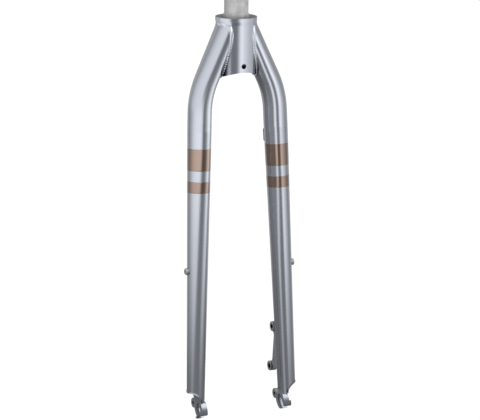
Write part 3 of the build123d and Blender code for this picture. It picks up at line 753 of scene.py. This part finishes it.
# each softbox: the pieces it lights, where it stands as seen from them (degrees right of the camera) and its
# width; "across" is its brightness against degrees round from the camera, "fade" its strength against height
# on the fork, and "slant" how many degrees a metre the pattern moves to the left from the height "bend" down,
# for at most "reach" metres; a "clear" one is shaded by its own pieces only, and one without a "fade" is even
softboxes = {
    "keySide": {"target": "right", "azimuth": -100, "width": 1.0, "slant": 60, "bend": -0.13, "reach": 0.4,
                "across": [(-145, 0.0), (-106, 0.12), (-74, 0.65), (-55, 1.15)],
                "fade": [(-0.5, 0.0), (-0.2, 1)]},
    "keyFront": {"target": "right", "azimuth": -10, "width": 1.0, "slant": 196, "bend": -0.13, "reach": 0.4,
                 "across": [(-55, 1.15), (-23, 1.5), (16, 1.6), (27, 1.35), (36, 0.5), (45, 0)],
                 "fade": [(-0.44, 0.2), (-0.36, 0.5), (-0.157, 1)]},
    "stripInner": {"target": "right", "azimuth": 90, "width": 1.2, "slant": 170, "bend": -0.19, "reach": 0.4,
                   "across": [(58, 0), (72, 0.25), (83, 0.8), (95, 1.5), (114, 1.5), (130, 0.2)],
                   "fade": [(-0.5, 0.05), (-0.22, 1)], "clear": True},
    "keySideShoulder": {"target": "rightShoulder", "azimuth": -100, "width": 1.0,
                        "slant": -350, "bend": -0.03, "reach": 0.07,
                        "across": [(-170, 0.0), (-130, 0.14), (-99, 0.65), (-80, 1.15), (-55, 1.4)],
                        "fade": [(-0.19, 1), (-0.05, 0.8)]},
    "keyFrontShoulder": {"target": "rightShoulder", "azimuth": -10, "width": 1.0,
                         "slant": -350, "bend": -0.03, "reach": 0.07,
                         "across": [(-80, 1.15), (-48, 1.5), (-8, 1.6), (3, 1.35), (12, 0.5), (21, 0)],
                         "fade": [(-0.13, 1), (-0.03, 0.8)]},
    "stripInnerShoulder": {"target": "rightShoulder", "azimuth": 90, "width": 1.2,
                           "slant": 60, "bend": -0.19, "reach": 0.3,
                           "across": [(50, 0), (66, 0.35), (80, 1.1), (94, 1.8), (114, 1.8), (132, 0.2)],
                           "fade": [(-0.19, 0.84), (-0.11, 1)], "clear": True},
    "stripMiddle": {"target": "left", "azimuth": -30, "width": 1.6,
                    "slant": 160, "bend": -0.215, "reach": 0.115,
                    "across": [(-95, 0.02), (-74, 0.16), (-47, 0.2), (-17, 0.12), (-4, 1.6), (4, 1.6),
                               (14, 0.02)],
                    "fade": [(-0.44, 0.3), (-0.33, 0.6), (-0.157, 1)], "clear": True},
    "keyOuter": {"target": "left", "azimuth": 75, "width": 1.2, "slant": 15, "bend": -0.157, "reach": 0.4,
                 "across": [(30, 0), (44, 1.55), (55, 1.3), (74, 0.8), (100, 0.2), (125, 0.15)],
                 "fade": [(-0.5, 0.15), (-0.28, 0.95), (-0.2, 1)]},
    "stripMiddleShoulder": {"target": "leftShoulder", "azimuth": -30, "width": 1.6,
                            "across": [(-95, 0.02), (-74, 0.14), (-47, 0.18), (-17, 0.12), (-4, 1.8),
                                       (4, 1.8), (14, 0.02)],
                            "fade": [(-0.145, 0.88), (-0.09, 1)], "clear": True},
    "keyOuterShoulder": {"target": "leftShoulder", "azimuth": 75, "width": 1.2,
                         "across": [(30, 0), (44, 2.1), (55, 1.8), (74, 0.9), (100, 0.3), (125, 0.15)],
                         "fade": [(-0.145, 0.72), (-0.09, 1)]},
    "crownLeft": {"target": "crown", "azimuth": -80, "width": 1.4, "slant": -45, "bend": -0.12, "reach": 0.18,
                  "across": [(-165, 0.0), (-110, 0.5), (-85, 1.2), (-55, 1.5), (-38, 1.35), (-22, 0.1)]},
    "crownRight": {"target": "crown", "azimuth": 60, "width": 1.6, "slant": -45, "bend": -0.12, "reach": 0.18,
                   "across": [(4, 0), (14, 0.4), (25, 1.4), (36, 1.65), (48, 1.3), (80, 0.8), (120, 0.5)]},
    "steererFront": {"target": "steerer", "azimuth": -30, "width": 1.8,
                     "across": [(-100, 0.9), (-60, 1.0), (60, 0.95)]},
    "steererRight": {"target": "steerer", "azimuth": 80, "width": 1.0,
                     "across": [(40, 0.95), (80, 1.0), (125, 0.5)]},
    "footFront": {"target": "foot", "azimuth": 50, "width": 0.9,
                  "across": [(20, 0.3), (32, 1.6), (70, 1.6), (85, 0.4)],
                  "fade": [(-0.25, 0), (-0.1, 0.3), (0.02, 1)]},
    "footSide": {"target": "foot", "azimuth": -60, "width": 1.4,
                 "across": [(-120, 0.25), (-100, 0.1), (-60, 0.3), (-20, 0.6)],
                 "fade": [(-0.6, 0.6), (-0.4, 1)]},
    "seamFront": {"target": "seam", "azimuth": -20, "width": 1.8,
                  "across": [(-85, 0.3), (-60, 0.85), (10, 0.85), (40, 0.3)]},
    "weldFront": {"target": "weld", "azimuth": -35, "width": 1.8,
                  "across": [(-100, 0), (-95, 4), (-85, 4), (-80, 0), (-58, 0), (-53, 4), (-43, 4), (-38, 0),
                             (-10, 0), (-5, 4), (5, 4), (10, 0)]},
    "weldRight": {"target": "weld", "azimuth": 75, "width": 1.4,
                  "across": [(35, 0), (40, 4), (50, 4), (55, 0), (82, 0), (87, 4), (97, 4), (102, 0)]},
}
evenFade = [(-0.2, 1), (0.1, 1)]


def softboxFace(data, box):
    # brightness by azimuth round the target, slanted below a bend, times a fade by the height on the fork
    # that mirrors this spot to the camera: the spot's own height plus its distance times lookDown
    data.use_nodes = True
    nodes, links = data.node_tree.nodes, data.node_tree.links

    def step(operation, first, second=0.0):
        return calc(nodes, links, operation, first, second)

    target = targets[box["target"]]
    x, y, z, level = fromPoint(nodes, links, target)
    around = step("MULTIPLY", step("ARCTAN2", x, step("MULTIPLY", y, -1.0)), 180 / math.pi)
    degrees = step("SUBTRACT", around, view["azimuth"])
    height = step("ADD", step("MULTIPLY", level, boxes["lookDown"]), step("ADD", z, target[2]))
    below = step("MAXIMUM", step("SUBTRACT", float(box.get("bend", 0)), height), 0.0)
    below = step("MINIMUM", below, float(box.get("reach", 0)))
    straight = step("ADD", degrees, step("MULTIPLY", below, float(box.get("slant", 0))))
    # a ramp runs from 0 to 1: half a turn to the left up to half a turn to the right, and up from the lowest
    across = step("ADD", step("MULTIPLY", straight, 1 / 360), 0.5)
    up = step("ADD", height, boxes["lowest"])
    levelAcross = greyRamp(nodes, links, across, [(0.5 + at / 360, share) for at, share in box["across"]])
    levelUp = greyRamp(nodes, links, up, [(at + boxes["lowest"], s) for at, s in box.get("fade", evenFade)])
    links.new(step("MULTIPLY", levelAcross, levelUp), nodes["Emission"].inputs["Strength"])


def addAreaLight(name, width, strength, centre, away):
    # a rectangle that stands off its centre and faces back to it; power of pi times its area makes a face of
    # strength one
    data = bpy.data.lights.new(name, "AREA")
    data.shape = "RECTANGLE"
    data.size, data.size_y = width, boxes["height"]
    data.energy = strength * math.pi * data.size * data.size_y
    light = addObject(name, data)
    light.matrix_world = Matrix.Translation(centre + away) @ away.to_track_quat("Z", "Y").to_matrix().to_4x4()
    return light


def awayFrom(azimuth, distance, rise=0.0):
    # the way out to a light, at degrees right of the camera, with a rise for each metre
    angle = math.radians(azimuth + view["azimuth"])
    return Vector((math.sin(angle), -math.cos(angle), rise)) * distance


def addSoftbox(name, box, pieces):
    # a light with a patterned face, for one group of pieces
    centre = Vector(targets[box["target"]]) + Vector((0, 0, boxes["lift"]))
    light = addAreaLight(name, box["width"], 1.0, centre, awayFrom(box["azimuth"], boxes["distance"]))
    softboxFace(light.data, box)
    light.light_linking.receiver_collection = pieces
    if box.get("clear"):
        light.light_linking.blocker_collection = pieces


fills = {"azimuths": (140, 220), "distance": 1.6, "rise": 0.1, "centre": -0.2, "width": 1.1, "strength": 0.3}


def addFills():
    # two plain softboxes behind the fork, for whoever walks round it
    centre = Vector((0, 0, fills["centre"]))
    for number, azimuth in enumerate(fills["azimuths"]):
        away = awayFrom(azimuth, fills["distance"], fills["rise"])
        addAreaLight("fill" + str(number), fills["width"], fills["strength"], centre, away)


def lightGroups():
    # which pieces a softbox lights, as flags between the blades and the crown would keep it in a studio: the
    # first word of a piece's name gives its group, or else its side does
    groups = {name: bpy.data.collections.new(name + "Pieces") for name in targets}
    for thing in bpy.data.objects:
        if thing.type == "MESH" and thing.name != "floor":
            first = thing.name.split("_")[0]
            group = "right" if "right" in thing.name else "left"
            if first == "shoulder":
                group += "Shoulder"
            groups[ownTarget.get(first, group)].objects.link(thing)
    return groups


addFloor()
addWorld()
groups = lightGroups()
for name, box in softboxes.items():
    addSoftbox(name, box, groups[box["target"]])
addFills()
addCamera()
bpy.context.scene.view_settings.view_transform = "Standard"
print("studio made")
